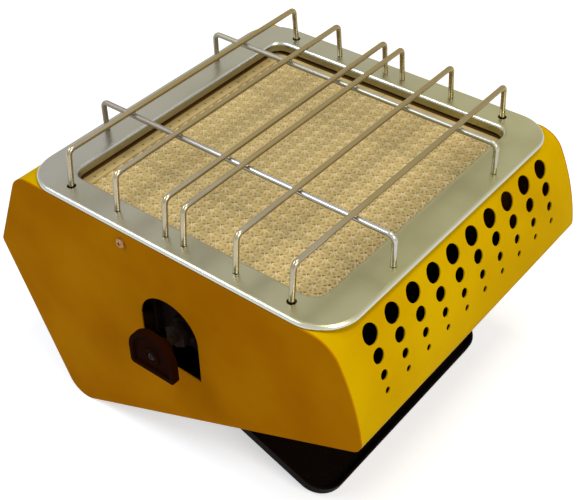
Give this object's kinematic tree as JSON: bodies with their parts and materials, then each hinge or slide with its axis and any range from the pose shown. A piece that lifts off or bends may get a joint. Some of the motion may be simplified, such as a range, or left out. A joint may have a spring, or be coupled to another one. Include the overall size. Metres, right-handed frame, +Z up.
{
  "type": "portable gas heater",
  "caption": "Portable gas heater and cooker: ceramic burner under a lift-off wire guard, in a bent sheet housing with flat cheeks, a gas knob and a folding foot.",
  "frame": {"origin": "centre of the footprint's bounding box, on the ground that the heel and the open foot stand on", "axes": "+Z up with the burner level for cooking, +X to the right of the perforated front, with the gas knob on -X; the perforated front faces -Y"},
  "size_m": [0.256, 0.2836, 0.2035],
  "materials": {
    "yellow_paint": "semi-gloss",
    "black_paint": "satin",
    "plate_steel": "satin",
    "bright_wire": "bright",
    "inner_steel": "dull",
    "zinc_steel": "bright zinc",
    "ceramic": "matte, porous",
    "fibre": "matte",
    "brass": "machined",
    "copper": "drawn",
    "black_plastic": "moulded, satin"
  },
  "bodies": {
    "housing": {"housing_wrap": "yellow_paint", "side_panel_left": "yellow_paint", "side_panel_right": "yellow_paint", "base_pan": "black_paint", "top_plate": "plate_steel", "burner_tray": "inner_steel", "tile_ledge": "inner_steel", "tile_gasket": "fibre", "tile_clamp": "inner_steel", "ceramic_tile_front": "ceramic", "ceramic_tile_rear": "ceramic", "diffuser_plate": "inner_steel", "heat_shield": "inner_steel", "shield_spacers": "zinc_steel", "mixing_tube": "inner_steel", "gas_jet": "brass", "valve_body": "brass", "gland_nut": "brass", "valve_lock_nut": "zinc_steel", "valve_bracket": "zinc_steel", "gas_pipe": "copper", "pipe_nuts": "brass", "gas_inlet": "brass", "inlet_lock_nut": "zinc_steel", "foot_pin": "zinc_steel", "friction_washers": "zinc_steel", "pin_nuts": "zinc_steel", "panel_screws": "zinc_steel", "burner_screws": "zinc_steel", "base_screws": "zinc_steel", "bracket_screws": "zinc_steel", "shield_screws": "zinc_steel"},
    "knob": {"knob": "black_plastic", "valve_spindle": "zinc_steel", "knob_screw": "zinc_steel"},
    "foot": {"folding_foot": "black_paint"},
    "guard": {"guard_wire_1": "bright_wire", "guard_wire_2": "bright_wire", "guard_wire_3": "bright_wire", "guard_wire_4": "bright_wire", "guard_wire_5": "bright_wire", "guard_wire_6": "bright_wire", "guard_cross_1": "bright_wire", "guard_cross_2": "bright_wire"}
  },
  "joints": [
    {"name": "knob_turn", "type": "hinge", "parent": "housing", "child": "knob", "pos_m": [-0.117, -0.006, 0.109], "axis": [-1, 0, 0], "range_deg": [0, 210]},
    {"name": "foot_fold", "type": "hinge", "parent": "housing", "child": "foot", "pos_m": [0.008, 0.00429, 0.04344], "axis": [-1, 0, 0], "range_deg": [0, 46.4]},
    {"name": "guard_lift", "type": "slide", "parent": "housing", "child": "guard", "axis": [0, 0, 1], "range_m": [0, 0.03]}
  ]
}
